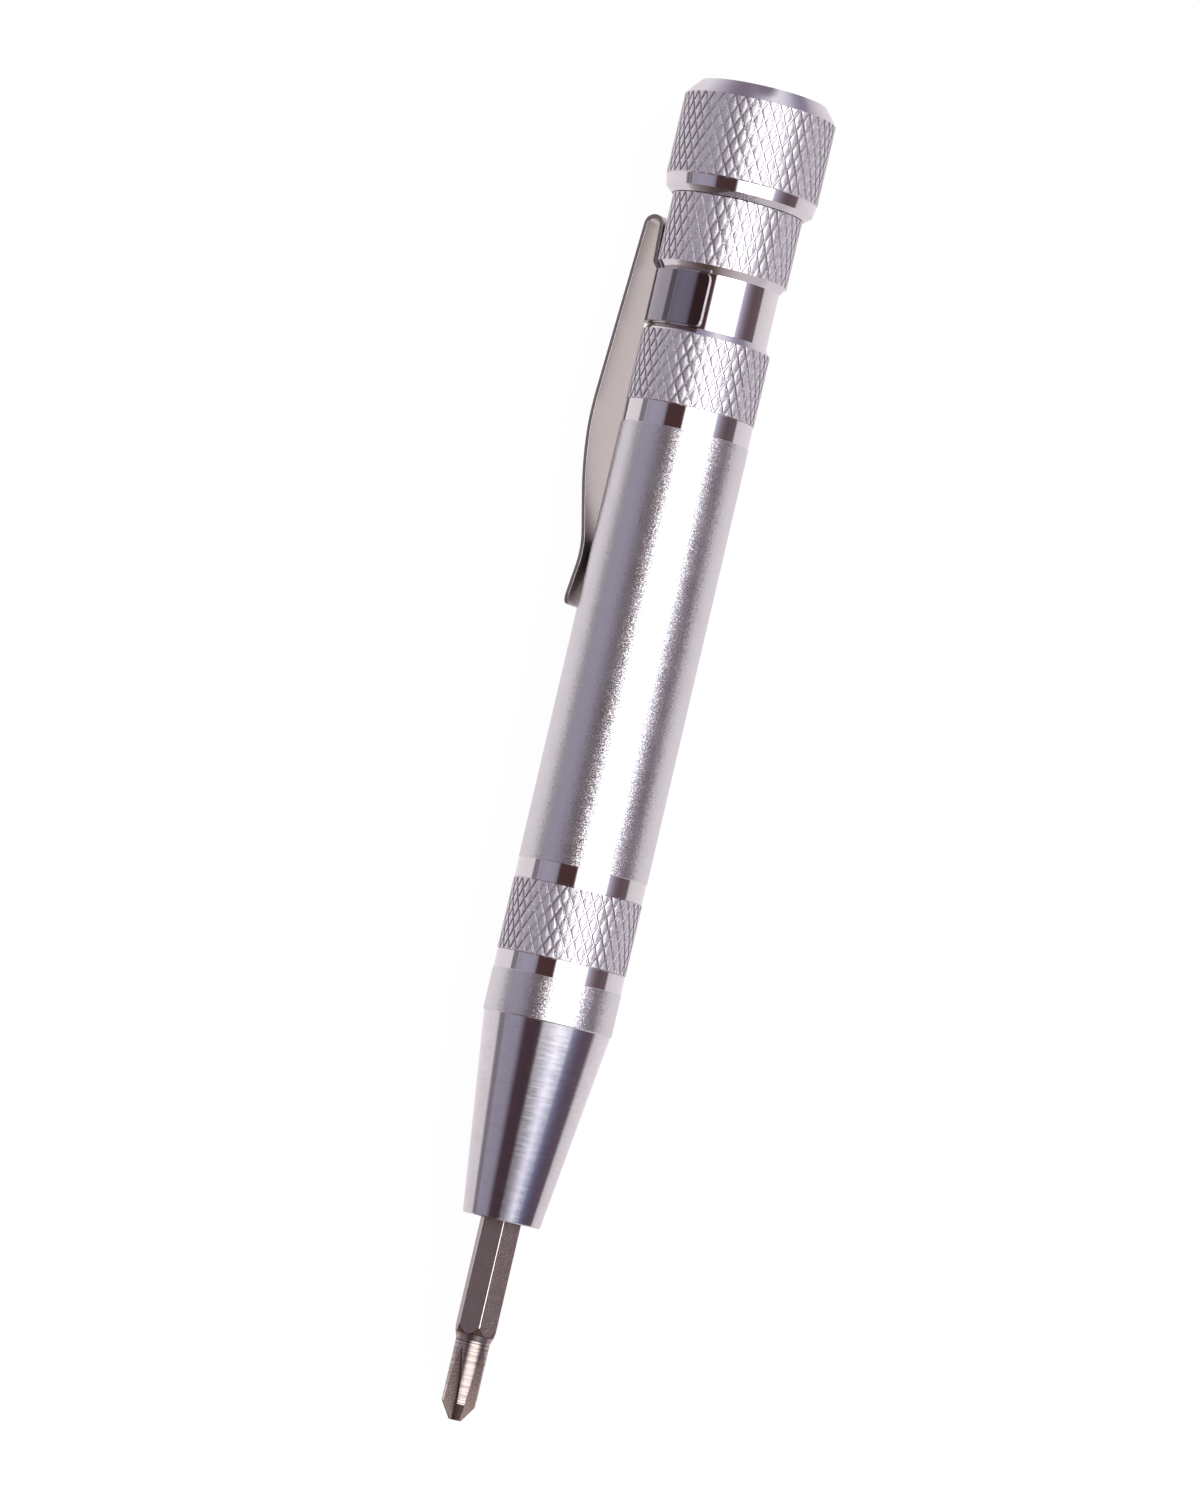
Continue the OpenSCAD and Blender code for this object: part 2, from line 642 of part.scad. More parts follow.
// A bearing ring, with the ball race turned into its face
module bearing_ring(in_r, out_r) {
    translate([0, 0, bearing_z]) difference() {
        cylinder(r = out_r, h = bearing_w);
        translate([0, 0, -overrun]) cylinder(r = in_r, h = bearing_w + 2 * overrun);
        translate([0, 0, bearing_w / 2]) rotate_extrude()
            translate([ball_circle_r, 0]) circle(r = race_r, $fn = 48);
    }
}

module bearing_inner_ring() {
    color("lightslategray") lay_down() bearing_ring(bearing_bore_r, ball_circle_r - land_half);
}

module bearing_outer_ring() {
    color("lightslategray") lay_down() bearing_ring(ball_circle_r + land_half, bearing_r);
}

module bearing_balls() {
    color("whitesmoke") lay_down()
        for (i = [0 : ball_count - 1])
            rotate([0, 0, 360 * i / ball_count]) translate([ball_circle_r, 0, bearing_mid_z])
                sphere(r = ball_r);
}

module bearing_cage() {
    half_t = land_half - 2 * run_gap;
    height = ball_d + 2 * cage_rim;
    color("peru") lay_down() difference() {
        rotate_extrude() translate([ball_circle_r - half_t, bearing_mid_z - height / 2])
            square([2 * half_t, height]);
        for (i = [0 : ball_count - 1])
            rotate([0, 0, 360 * i / ball_count])
                translate([ball_circle_r - ball_r, 0, bearing_mid_z]) rotate([0, 90, 0])
                    cylinder(r = ball_r + run_gap, h = ball_d);
    }
}

module swivel_cap() {
    b = edge_bevel;
    color("silver") lay_down() difference() {
        union() {
            rotate_extrude() polygon([
                [0, cap_z], [cap_foot_d / 2, cap_z], [cap_ring_d / 2, cap_ring_z],
                [cap_r - ring_recess, cap_knurl_z - b], [cap_r - b, cap_knurl_z],
                [core_r(cap_r), cap_knurl_z], [core_r(cap_r), cap_shoulder_z],
                [cap_r - b, cap_shoulder_z], [cap_shoulder_d / 2, cap_bevel_z],
                [cap_face_d / 2, total_len], [0, total_len]]);
            knurl_drum(cap_knurl_z, cap_knurl_len, cap_r);
        }
        translate([0, 0, cap_z - overrun])
            cylinder(r = bearing_r + seat_gap, h = screw_head_z + seat_gap - cap_z + overrun);
        translate([0, 0, screw_head_z - overrun])
            cylinder(r = screw_head_d / 2 + head_room, h = screw_head_len + head_room + overrun);
    }
}

barrel();
nose_cone();
hex_socket();
socket_magnet();
driver_bit();
bit_magazine();
cross_bit_medium();
cross_bit_small();
cross_bit_fine();
slotted_bit_wide();
slotted_bit_narrow();
tail_collar();
tail_o_ring();
pocket_clip();
pivot_screw();
bearing_inner_ring();
bearing_balls();
bearing_cage();
bearing_outer_ring();
swivel_cap();
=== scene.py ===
from math import atan2, cos, degrees, hypot, pi, radians, sin, tan

import bmesh
import bpy
from mathutils import Matrix, Vector


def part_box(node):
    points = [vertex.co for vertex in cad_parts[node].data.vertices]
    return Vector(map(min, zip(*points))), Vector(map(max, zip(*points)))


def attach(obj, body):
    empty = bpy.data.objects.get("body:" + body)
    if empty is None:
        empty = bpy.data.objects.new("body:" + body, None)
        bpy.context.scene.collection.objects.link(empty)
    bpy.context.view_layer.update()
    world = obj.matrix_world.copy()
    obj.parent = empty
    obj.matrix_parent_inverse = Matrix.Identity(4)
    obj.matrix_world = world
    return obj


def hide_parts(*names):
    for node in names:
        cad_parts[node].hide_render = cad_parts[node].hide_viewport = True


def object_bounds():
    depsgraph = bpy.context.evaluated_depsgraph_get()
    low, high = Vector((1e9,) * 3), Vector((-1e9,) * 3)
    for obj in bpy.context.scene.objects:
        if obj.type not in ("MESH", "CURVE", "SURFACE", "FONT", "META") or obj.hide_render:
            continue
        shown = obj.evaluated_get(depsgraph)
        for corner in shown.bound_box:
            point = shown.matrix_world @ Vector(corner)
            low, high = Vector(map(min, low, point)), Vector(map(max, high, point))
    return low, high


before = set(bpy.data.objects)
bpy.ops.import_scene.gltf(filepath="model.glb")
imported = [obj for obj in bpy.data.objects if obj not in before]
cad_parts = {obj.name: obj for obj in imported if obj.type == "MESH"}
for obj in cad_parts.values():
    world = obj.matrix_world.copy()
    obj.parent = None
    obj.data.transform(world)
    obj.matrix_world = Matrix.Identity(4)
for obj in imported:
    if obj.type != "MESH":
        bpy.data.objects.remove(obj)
cad_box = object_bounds()

# Where the tool lies. Its axis runs along +Y through the barrel's middle, and the
# stations below are millimetres along it, counted from the tip of the bit.
MM = 0.001
barrel_low, barrel_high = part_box("barrel")
axis_x = (barrel_low.x + barrel_high.x) / 2
axis_z = (barrel_low.z + barrel_high.z) / 2
tip_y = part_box("driver_bit")[0].y


def at(radius, station, turn=0.0):
    """A point at a radius and station; turn is in degrees from straight up, towards +X."""
    a = radians(turn)
    return Vector((axis_x + MM * radius * sin(a), tip_y + MM * station, axis_z + MM * radius * cos(a)))


# Camera. A long lens looks down on the tool from 0.82 m, tilted a little towards the
# cap, and turned so that the tool leans 13.2 degrees to the right in the picture.
lens_px, frame_height_px = 7900, 1500
sensor_mm = 36.0
camera_height = 0.822
camera_side, eye_y, aim_y = -1.125 * MM, -46.2 * MM, 0.2 * MM
lean = radians(13.156)
camera_data = bpy.data.cameras.new("camera")
camera_data.sensor_width = sensor_mm
camera_data.lens = sensor_mm * lens_px / frame_height_px
camera = bpy.data.objects.new("camera", camera_data)
bpy.context.scene.collection.objects.link(camera)
eye = Vector((axis_x + camera_side, eye_y, axis_z + camera_height))
aim = Vector((axis_x + camera_side, aim_y, axis_z))
back = (eye - aim).normalized()
along = Vector((0, 1, 0)) - back * back.y
along.normalize()
across = along.cross(back)
camera_up = along * cos(lean) - across * sin(lean)
camera_right = along * sin(lean) + across * cos(lean)
camera.matrix_world = Matrix.Translation(eye) @ Matrix(
    (camera_right, camera_up, back)).transposed().to_4x4()
bpy.context.scene.camera = camera
bpy.context.scene.view_settings.view_transform = "Standard"


# Studio. A white light tent: a long white panel above and to the right of the tool,
# darker cloth beside it, and a grey panel on the left. The background shows as white.
def linear(red, green, blue):
    """An 8-bit colour as it is seen, in the linear values that nodes take."""
    return [((c / 255 + 0.055) / 1.055) ** 2.4 if c > 10 else c / 3295 for c in (red, green, blue)] + [1.0]


def lit(colour, strength):
    """A linear colour made brighter or darker."""
    return [c * strength for c in colour[:3]] + [1.0]


def wire(tree, kind, values=(), **settings):
    """Adds a node; values maps its inputs to constants or to other nodes' outputs."""
    node = tree.nodes.new(kind)
    for key, value in settings.items():
        setattr(node, key, value)
    for key, value in dict(values).items():
        if isinstance(value, bpy.types.NodeSocket):
            tree.links.new(value, node.inputs[key])
        else:
            node.inputs[key].default_value = value
    return node


def maths(tree, operation, *values):
    """The result of a calculation on numbers or other nodes' outputs."""
    return wire(tree, "ShaderNodeMath", dict(enumerate(values)), operation=operation).outputs[0]


def spread(tree, value, low, high, least=0.0, most=1.0, **settings):
    """A value taken from the range low to high to the range least to most, and held there."""
    values = {0: value, 1: low, 2: high, 3: least, 4: most}
    return wire(tree, "ShaderNodeMapRange", values, **settings).outputs[0]


def blend(tree, share, under, over, **settings):
    """A colour that is under where the share is 0, and over where it is 1."""
    values = {"Factor": share, 6: under, 7: over}
    return wire(tree, "ShaderNodeMix", values, data_type="RGBA", **settings).outputs[2]


def ramp(tree, place, stops):
    """Colours all round the tool; a stop is (degrees from straight up, linear colour)."""
    node = wire(tree, "ShaderNodeValToRGB", {"Fac": place})
    elements = node.color_ramp.elements
    while len(elements) < len(stops):
        elements.new(1.0)
    for element, (turn, colour) in zip(elements, stops):
        element.position = (180 + turn) / 360
        element.color = colour
    return node.outputs["Color"]


def towards(tree, value, reach):
    """How far a value has come in a reach of (start, end), as a smooth step from 0 to 1."""
    return spread(tree, value, *reach, interpolation_type="SMOOTHSTEP")


def shown_to(tree, *rays):
    """1 for rays of the named kinds, 0 for all others."""
    path = wire(tree, "ShaderNodeLightPath")
    shown = path.outputs[rays[0]]
    for ray in rays[1:]:
        shown = maths(tree, "MAXIMUM", shown, path.outputs[ray])
    return shown


tent_white = linear(255, 254, 255)
white_panel = lit(tent_white, 2.6)
cloth_brown = linear(80, 57, 57)
panel_grey = linear(166, 160, 176)
panel_edge = linear(112, 104, 112)
panel_blue = linear(204, 200, 226)
floor_grey = linear(228, 222, 225)
cap_pole_grey = linear(132, 122, 132)

# Where one part of the tent gives way to the next: as the tilt along the axis of the face
# that mirrors it, or as how far the mirrored ray itself runs along the axis
cone_tilt, nose_tilt = (-0.205, -0.216), (-0.66, -0.80)
cap_reach, cap_pole_reach = (0.42, 0.62), (0.97, 1.0)
least_facing_up = 0.2

world = bpy.data.worlds.new("light_tent")
bpy.context.scene.world = world
world.use_nodes = True
tree = world.node_tree
tree.nodes.clear()
looking = wire(tree, "ShaderNodeTexCoord").outputs["Generated"]
ray_parts = wire(tree, "ShaderNodeSeparateXYZ", {0: looking}).outputs
mirror_turn = maths(tree, "ARCTAN2", ray_parts["X"], maths(tree, "ADD", ray_parts["Z"], 1.0))
place = spread(tree, mirror_turn, -pi / 2, pi / 2)
round_barrel = ramp(tree, place, [
    (-180, lit(floor_grey, 1.12)), (-130, lit(floor_grey, 1.04)), (-97, lit(floor_grey, 0.98)),
    (-94, lit(panel_edge, 1.35)), (-89, lit(panel_edge, 1.2)), (-88, lit(tent_white, 0.45)),
    (-87, lit(panel_edge, 1.1)), (-84, lit(panel_edge, 1.2)), (-82.5, lit(tent_white, 0.5)),
    (-81, lit(panel_grey, 0.85)), (-66, lit(panel_grey, 0.98)), (-48, lit(panel_grey, 0.86)),
    (-43, lit(panel_grey, 0.66)), (-40, lit(cloth_brown, 0.95)), (-10, lit(cloth_brown, 0.9)),
    (-5, white_panel), (46, white_panel), (51, lit(panel_blue, 0.9)), (60, linear(146, 133, 145)),
    (67, linear(116, 101, 108)), (75, linear(98, 82, 88)), (93, linear(110, 95, 100)),
    (97, lit(floor_grey, 0.86)), (112, lit(floor_grey, 0.98)), (135, lit(floor_grey, 1.05)),
    (180, lit(floor_grey, 1.12))])
round_cone = ramp(tree, place, [
    (-180, lit(floor_grey, 1.05)), (-100, lit(floor_grey, 0.9)), (-95, lit(panel_edge, 1.45)),
    (-84, lit(panel_edge, 1.4)), (-81, lit(panel_grey, 0.85)), (-50, lit(panel_grey, 0.72)),
    (-37, linear(74, 58, 68)), (-12, linear(66, 52, 60)), (-3, linear(78, 68, 80)),
    (5, linear(106, 100, 116)), (14, linear(168, 164, 182)), (26, linear(222, 220, 234)),
    (34, linear(188, 191, 212)), (42, linear(142, 146, 172)), (52, linear(113, 114, 141)),
    (62, linear(97, 93, 117)), (76, linear(94, 80, 96)), (97, linear(96, 82, 92)),
    (103, lit(floor_grey, 0.8)), (120, lit(floor_grey, 0.95)), (180, floor_grey)])
over_cap = ramp(tree, place, [
    (-180, linear(246, 243, 246)), (-120, linear(238, 235, 240)), (-98, linear(226, 221, 228)),
    (-80, linear(202, 196, 206)), (-66, linear(176, 169, 182)), (-54, linear(150, 139, 156)),
    (-42, linear(134, 121, 136)), (-29, linear(132, 120, 136)), (-18, linear(142, 134, 152)),
    (-6, linear(170, 165, 184)), (6, linear(206, 202, 216)), (16, linear(242, 239, 248)),
    (30, linear(230, 226, 237)), (42, linear(200, 196, 212)), (51, linear(164, 158, 178)),
    (62, linear(146, 137, 154)), (71, linear(150, 141, 156)), (82, linear(186, 179, 190)),
    (99, linear(216, 210, 216)), (130, linear(232, 228, 232)), (180, linear(250, 248, 250))])
past_nose = ramp(tree, place, [
    (-180, floor_grey), (-96, lit(floor_grey, 0.95)), (-84, linear(160, 150, 152)),
    (-71, linear(136, 125, 127)), (-50, linear(100, 86, 84)), (-30, linear(80, 64, 60)),
    (-15, linear(102, 88, 84)), (0, linear(158, 147, 148)), (30, linear(198, 190, 192)),
    (50, linear(204, 197, 201)), (71, linear(196, 190, 193)), (86, linear(206, 200, 203)),
    (96, lit(floor_grey, 0.95)), (180, floor_grey)])
facing_up = maths(tree, "MAXIMUM", maths(tree, "COSINE", mirror_turn), least_facing_up)
tilt = maths(tree, "DIVIDE", ray_parts["Y"], facing_up)
tent = blend(tree, towards(tree, tilt, cone_tilt), round_barrel, round_cone)
cap_side = blend(tree, towards(tree, ray_parts["Y"], cap_pole_reach), over_cap, cap_pole_grey)
tent = blend(tree, towards(tree, ray_parts["Y"], cap_reach), tent, cap_side)
tent = blend(tree, towards(tree, tilt, nose_tilt), tent, past_nose)
seen = blend(tree, shown_to(tree, "Is Camera Ray", "Is Transmission Ray"), tent, tent_white)
sky = wire(tree, "ShaderNodeBackground", {"Color": seen, "Strength": 1.0})
wire(tree, "ShaderNodeOutputWorld", {"Surface": sky.outputs[0]})

floor_size, floor_gap = 3.0, 0.02
floor_glow, floor_light = 0.92, 1.05
floor_mesh = bpy.data.meshes.new("tent_floor")
bm = bmesh.new()
bmesh.ops.create_grid(bm, x_segments=1, y_segments=1, size=floor_size)
bmesh.ops.translate(bm, verts=bm.verts, vec=(0, 0, cad_box[0].z - floor_gap * MM))
bm.to_mesh(floor_mesh)
bm.free()
floor = bpy.data.objects.new("tent_floor", floor_mesh)
bpy.context.scene.collection.objects.link(floor)
white_cloth = bpy.data.materials.new("white_cloth")
white_cloth.use_nodes = True
tree = white_cloth.node_tree
tree.nodes.clear()
shown = shown_to(tree, "Is Camera Ray", "Is Glossy Ray", "Is Transmission Ray")
glow = maths(tree, "MULTIPLY", shown, floor_glow)
matt = wire(tree, "ShaderNodeBsdfDiffuse", {"Color": tent_white})
bright = wire(tree, "ShaderNodeEmission", {"Color": tent_white, "Strength": floor_light})
mixed = wire(tree, "ShaderNodeMixShader", {0: glow, 1: matt.outputs[0], 2: bright.outputs[0]})
wire(tree, "ShaderNodeOutputMaterial", {"Surface": mixed.outputs[0]})
floor_mesh.materials.append(white_cloth)
floor.visible_glossy = False


# Barrel. A satin-chromed steel tube, turned and bored in one piece, with three polished
# rings and two knurled bands. The nose and the tail screw into its ends.
barrel_r, ring_r, mouth_r = 6.85, 6.80, 6.3
edge = 0.12
thread_r, bore_r = 6.0, 5.6
barrel_start, lower_ring, front_knurl, upper_ring, body_start = 42.2, 46.8, 48.8, 56.3, 58.5
tail_ring, tail_knurl, mouth_bevel, mouth = 105.2, 107.7, 115.15, 115.85
thread_depth, thread_bevel = 8.1, 0.1
step_bevel, step_margin = 0.05, 0.5
knurl_around, band_rows = 36, 7

# The numbers of a turned piece's materials, in the order of its list
body_face, ring_face, crest_face, groove_face, flank_face = range(5)

# Distances in metres within which points count as one
weld, last_weld, cut_gap, ring_gap = 2e-6, 1e-6, 1e-6, 5e-6


def knurl(radius, start, length, around, rows, phase=0):
    """A knurled band: rolled, slightly domed diamonds between grooves, open at both ends.
    The profile goes up from a groove to a crest in steps of (width, rise, material)."""
    profile = ((0.07, 0.0, groove_face), (0.04, 0.02, groove_face), (0.075, 0.065, flank_face),
               (0.15, 0.03, crest_face))
    groove_depth = sum(rise for width, rise, number in profile)
    crest_cuts, cell_gap = (-0.25, 0.0, 0.25), 1e-5
    half_w, half_h = pi * radius / around, length / rows
    cell = bmesh.new()
    bmesh.ops.create_circle(cell, cap_ends=True, segments=4, radius=1.0)
    bmesh.ops.scale(cell, vec=(half_w, half_h, 1), verts=cell.verts)
    bmesh.ops.translate(cell, vec=(0, 0, -groove_depth), verts=cell.verts)
    top = list(cell.faces)
    for width, rise, number in profile:
        for face in top:
            face.material_index = number
        bmesh.ops.inset_individual(cell, faces=top, thickness=width, depth=rise)
    for face in top:
        face.material_index = crest_face
    for share in crest_cuts:
        parts = top + [e for f in top for e in f.edges] + [v for f in top for v in f.verts]
        cut = bmesh.ops.bisect_plane(cell, geom=list(dict.fromkeys(parts)), dist=cell_gap,
                                     plane_co=(share * half_w, 0, 0), plane_no=(1, 0, 0))
        top = [part for part in cut["geom"] if isinstance(part, bmesh.types.BMFace)]
    cell_mesh = bpy.data.meshes.new("knurl_cell")
    cell.to_mesh(cell_mesh)
    cell.free()
    column = bmesh.new()
    for row in range(rows + 1):
        known = set(column.verts)
        column.from_mesh(cell_mesh)
        shift = ((row + phase) % 2) * half_w
        for v in column.verts:
            if v not in known:
                v.co = at(radius + v.co.z, start + half_h * row + v.co.y, degrees((v.co.x + shift) / radius))
    bpy.data.meshes.remove(cell_mesh)
    step = 2 * pi / around
    whole = column.verts[:] + column.edges[:] + column.faces[:]
    bmesh.ops.spin(column, geom=whole, cent=at(0, start), axis=(0, 1, 0), angle=step * (around - 1),
                   steps=around - 1, use_duplicate=True)
    bmesh.ops.remove_doubles(column, verts=column.verts, dist=weld)
    for station, way in ((start, -1), (start + length, 1)):
        whole = column.verts[:] + column.edges[:] + column.faces[:]
        bmesh.ops.bisect_plane(column, geom=whole, dist=cut_gap, plane_co=at(0, station),
                               plane_no=(0, way, 0), clear_outer=True)
    return column


def open_ring(bm, station):
    """The open edges that lie at a station."""
    y = tip_y + MM * station
    return [e for e in bm.edges if e.is_boundary and all(abs(v.co.y - y) < ring_gap for v in e.verts)]


def grow(bm, ring, outline):
    """Carries an open ring of edges along a turned outline of (radius, station) points."""
    seam = 0.1
    for number, (radius, station) in enumerate(outline):
        made = bmesh.ops.extrude_edge_only(bm, edges=ring)["geom"]
        new = {part for part in made if isinstance(part, bmesh.types.BMVert)}
        turns = {v: (degrees(atan2(v.co.x - axis_x, v.co.z - axis_z)) + seam) % 360 for v in new}
        for place, v in enumerate(sorted(new, key=turns.get)):
            v.co = at(radius, station, 360 * place / len(new))
        ring = [part for part in made
                if isinstance(part, bmesh.types.BMEdge) and all(v in new for v in part.verts)]
        for e in ring:
            e.smooth = number > 0
            for face in e.link_faces:
                face.material_index = body_face
    return ring


def polish(bm, zones):
    """Gives the faces of some zones the ring material; a zone is (from, to, least radius)."""
    for face in bm.faces:
        middle = face.calc_center_median()
        station = (middle.y - tip_y) / MM
        radius = hypot(middle.x - axis_x, middle.z - axis_z) / MM
        if any(low <= station <= high and radius >= least for low, high, least in zones):
            face.material_index = ring_face


def finish_piece(name, bm, body, node, materials, crease=28):
    """Makes the object, smooth but for edges that turn by more than crease degrees, hangs it on its body
    and hides the CAD node that it stands for."""
    bmesh.ops.remove_doubles(bm, verts=bm.verts, dist=last_weld)
    bmesh.ops.recalc_face_normals(bm, faces=bm.faces)
    for face in bm.faces:
        face.smooth = True
    for e in bm.edges:
        if len(e.link_faces) == 2 and e.calc_face_angle(0.0) > radians(crease):
            e.smooth = False
    mesh = bpy.data.meshes.new(name)
    bm.to_mesh(mesh)
    bm.free()
    piece = bpy.data.objects.new(name, mesh)
    bpy.context.scene.collection.objects.link(piece)
    for material in materials:
        mesh.materials.append(material)
    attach(piece, body)
    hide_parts(node)
    return piece


def blank(name):
    """A new material, its empty node tree, and the coordinates of the piece that wears it."""
    material = bpy.data.materials.new(name)
    material.use_nodes = True
    tree = material.node_tree
    tree.nodes.clear()
    return material, tree, wire(tree, "ShaderNodeTexCoord").outputs["Object"]


def shade(tree, colour, roughness, normal=None, metallic=1.0):
    """Ends a tree in its shader; colour and roughness are constants or nodes' outputs."""
    values = {"Base Color": colour, "Metallic": metallic, "Roughness": roughness}
    if normal:
        values["Normal"] = normal
    shader = wire(tree, "ShaderNodeBsdfPrincipled", values)
    wire(tree, "ShaderNodeOutputMaterial", {"Surface": shader.outputs[0]})


def noise(tree, coords, size, detail, roughness=0.5):
    """The outputs of a cloudy pattern; size is in millimetres."""
    values = {"Vector": coords, "Scale": 1 / (MM * size), "Detail": detail, "Roughness": roughness}
    return wire(tree, "ShaderNodeTexNoise", values).outputs


def bump(tree, height, pattern, under=None):
    """A normal raised by a pattern to a height in metres, on top of another normal if given."""
    values = {"Distance": height, "Height": pattern}
    if under:
        values["Normal"] = under
    return wire(tree, "ShaderNodeBump", values).outputs[0]


def wrapped(tree, coords, stretch):
    """Coordinates that run round the tool's axis, drawn out by a factor, and along it."""
    wrap_r = 6
    parts = wire(tree, "ShaderNodeSeparateXYZ", {0: coords}).outputs
    right = maths(tree, "SUBTRACT", parts["X"], axis_x)
    up = maths(tree, "SUBTRACT", parts["Z"], axis_z)
    arc = maths(tree, "MULTIPLY", maths(tree, "ARCTAN2", right, up), wrap_r * MM / stretch)
    return wire(tree, "ShaderNodeCombineXYZ", {"X": arc, "Y": parts["Y"]}).outputs[0]


def pitted(tree, coords, size, height):
    """A normal with fine pits; size is in millimetres and height in metres."""
    return bump(tree, height, noise(tree, coords, size, detail=2.0, roughness=0.6)["Fac"])


def turned(tree, coords, pitch, height, under=None):
    """A normal with fine turning marks; pitch is in millimetres and height in metres."""
    line_stretch = 40
    marks = noise(tree, wrapped(tree, coords, line_stretch), pitch, detail=3.0, roughness=0.7)
    return bump(tree, height, marks["Fac"], under)


def metal(name, colour, roughness, grain=0.0, grain_size=0.12, lines=0.0, line_pitch=0.12):
    """Plain metal; grain is the height of its fine pits, lines that of its turning marks, in mm."""
    material, tree, coords = blank(name)
    normal = None
    if grain:
        normal = pitted(tree, coords, grain_size, MM * grain)
    if lines:
        normal = turned(tree, coords, line_pitch, MM * lines, normal)
    shade(tree, linear(*colour), roughness, normal)
    return material


def vectors(tree, operation, *values, result="Vector"):
    """The result of a calculation on vectors or other nodes' outputs."""
    return wire(tree, "ShaderNodeVectorMath", dict(enumerate(values)), operation=operation).outputs[result]


def blasted_metal(name, colour, roughness, patchiness, facet_size, leaning):
    """A blasted skin of tiny facets, which lean by chance and differ a little in tone."""
    patch_size, patch_low, patch_high = 1 / 0.42, 0.3, 0.7
    facet_low, facet_high, darkest_facet = 0.35, 0.65, 0.91
    material, tree, coords = blank(name)
    patches = noise(tree, coords, patch_size, detail=3.0)["Fac"]
    sheen = spread(tree, patches, patch_low, patch_high,
                   roughness * (1 - patchiness), roughness * (1 + patchiness))
    facets = noise(tree, coords, facet_size, detail=1.0)
    skin = wire(tree, "ShaderNodeNewGeometry").outputs["Normal"]
    normal = vectors(tree, "SUBTRACT", facets["Color"], (0.5, 0.5, 0.5))
    normal = vectors(tree, "MULTIPLY_ADD", normal, (leaning, leaning, leaning), skin)
    tone = spread(tree, facets["Fac"], facet_low, facet_high, darkest_facet, 1.0)
    tint = blend(tree, 1.0, linear(*colour), tone, blend_type="MULTIPLY")
    shade(tree, tint, sheen, vectors(tree, "NORMALIZE", normal))
    return material


satin_steel = blasted_metal("satin_chromed_steel", (237, 235, 239), 0.31, patchiness=0.08,
                            facet_size=0.13, leaning=0.5)
polished_steel = metal("polished_chromed_steel", (236, 233, 236), 0.05, lines=0.0006, line_pitch=0.10)
knurled_steel = metal("knurled_chromed_steel", (247, 244, 248), 0.49, grain=0.09, grain_size=0.44)
groove_steel = metal("knurl_groove_steel", (238, 234, 240), 0.26, grain=0.04, grain_size=0.22)
# The steep groove flanks are the same chrome as the crests, tinted far darker: painted shade in the knurl's
# grooves
flank_painted_shade_steel = metal("knurl_flank_painted_shade_steel", (156, 148, 156), 0.28, grain=0.04, grain_size=0.22)
knurl_steels = [knurled_steel, groove_steel, flank_painted_shade_steel]

# Both bands in one mesh; the turned skin then grows from their four open rings
bm = knurl(barrel_r, front_knurl, upper_ring - front_knurl, knurl_around, band_rows)
tail_band = knurl(barrel_r, tail_knurl, mouth_bevel - tail_knurl, knurl_around, band_rows,
                  phase=band_rows % 2)
scratch = bpy.data.meshes.new("tail_band")
tail_band.to_mesh(scratch)
tail_band.free()
bm.from_mesh(scratch)
bpy.data.meshes.remove(scratch)
body_middle = (body_start + tail_ring) / 2
front_thread_end, tail_thread_end = barrel_start + thread_depth - thread_bevel, mouth - thread_depth
grow(bm, open_ring(bm, upper_ring), [
    (ring_r - edge, upper_ring), (ring_r, upper_ring + edge), (ring_r, body_start),
    (barrel_r, body_start + step_bevel), (barrel_r, body_start + step_margin), (barrel_r, body_middle)])
grow(bm, open_ring(bm, tail_knurl), [
    (ring_r - edge, tail_knurl), (ring_r, tail_knurl - edge), (ring_r, tail_ring),
    (barrel_r, tail_ring - step_bevel), (barrel_r, tail_ring - step_margin), (barrel_r, body_middle)])
grow(bm, open_ring(bm, front_knurl), [
    (ring_r - edge, front_knurl), (ring_r, front_knurl - edge), (ring_r, lower_ring),
    (barrel_r, lower_ring - step_bevel), (barrel_r, lower_ring - step_margin),
    (barrel_r, barrel_start + step_margin), (barrel_r, barrel_start + edge), (barrel_r - edge, barrel_start),
    (thread_r + thread_bevel, barrel_start), (thread_r, barrel_start + thread_bevel),
    (thread_r, front_thread_end), (bore_r, front_thread_end), (bore_r, body_middle)])
grow(bm, open_ring(bm, mouth_bevel), [
    (barrel_r - edge, mouth_bevel), (mouth_r, mouth), (thread_r + thread_bevel, mouth),
    (thread_r, mouth - thread_bevel), (thread_r, tail_thread_end), (bore_r, tail_thread_end),
    (bore_r, body_middle)])
ring_least_r, mouth_least_r = 6.65, 6.2
polish(bm, [(lower_ring, front_knurl, ring_least_r), (upper_ring, body_start, ring_least_r),
            (tail_ring, tail_knurl, ring_least_r), (mouth_bevel, mouth, mouth_least_r)])
finish_piece("barrel_skin", bm, "handle", "barrel",
             [satin_steel, polished_steel] + knurl_steels)


# Nose. A polished steel cone with a fine turned grain, screwed into the barrel's front
# end. The hexagonal socket is pressed into its bore.
nose_face, nose_tip_r, nose_thread_r, spigot_end = 21.2, 4.125, 5.98, 50.2
socket_r, socket_end, punch_r = 3.22, 33.52, 1.9
nose_steps = 192


def lathe(outline, steps):
    """Spins a closed outline of (radius, station) points round the tool's axis."""
    bm = bmesh.new()
    points = [bm.verts.new(at(radius, station)) for radius, station in outline]
    edges = [bm.edges.new(pair) for pair in zip(points, points[1:] + points[:1])]
    bmesh.ops.spin(bm, geom=points + edges, cent=at(0, 0), axis=(0, 1, 0), angle=2 * pi, steps=steps,
                   use_merge=True)
    return bm


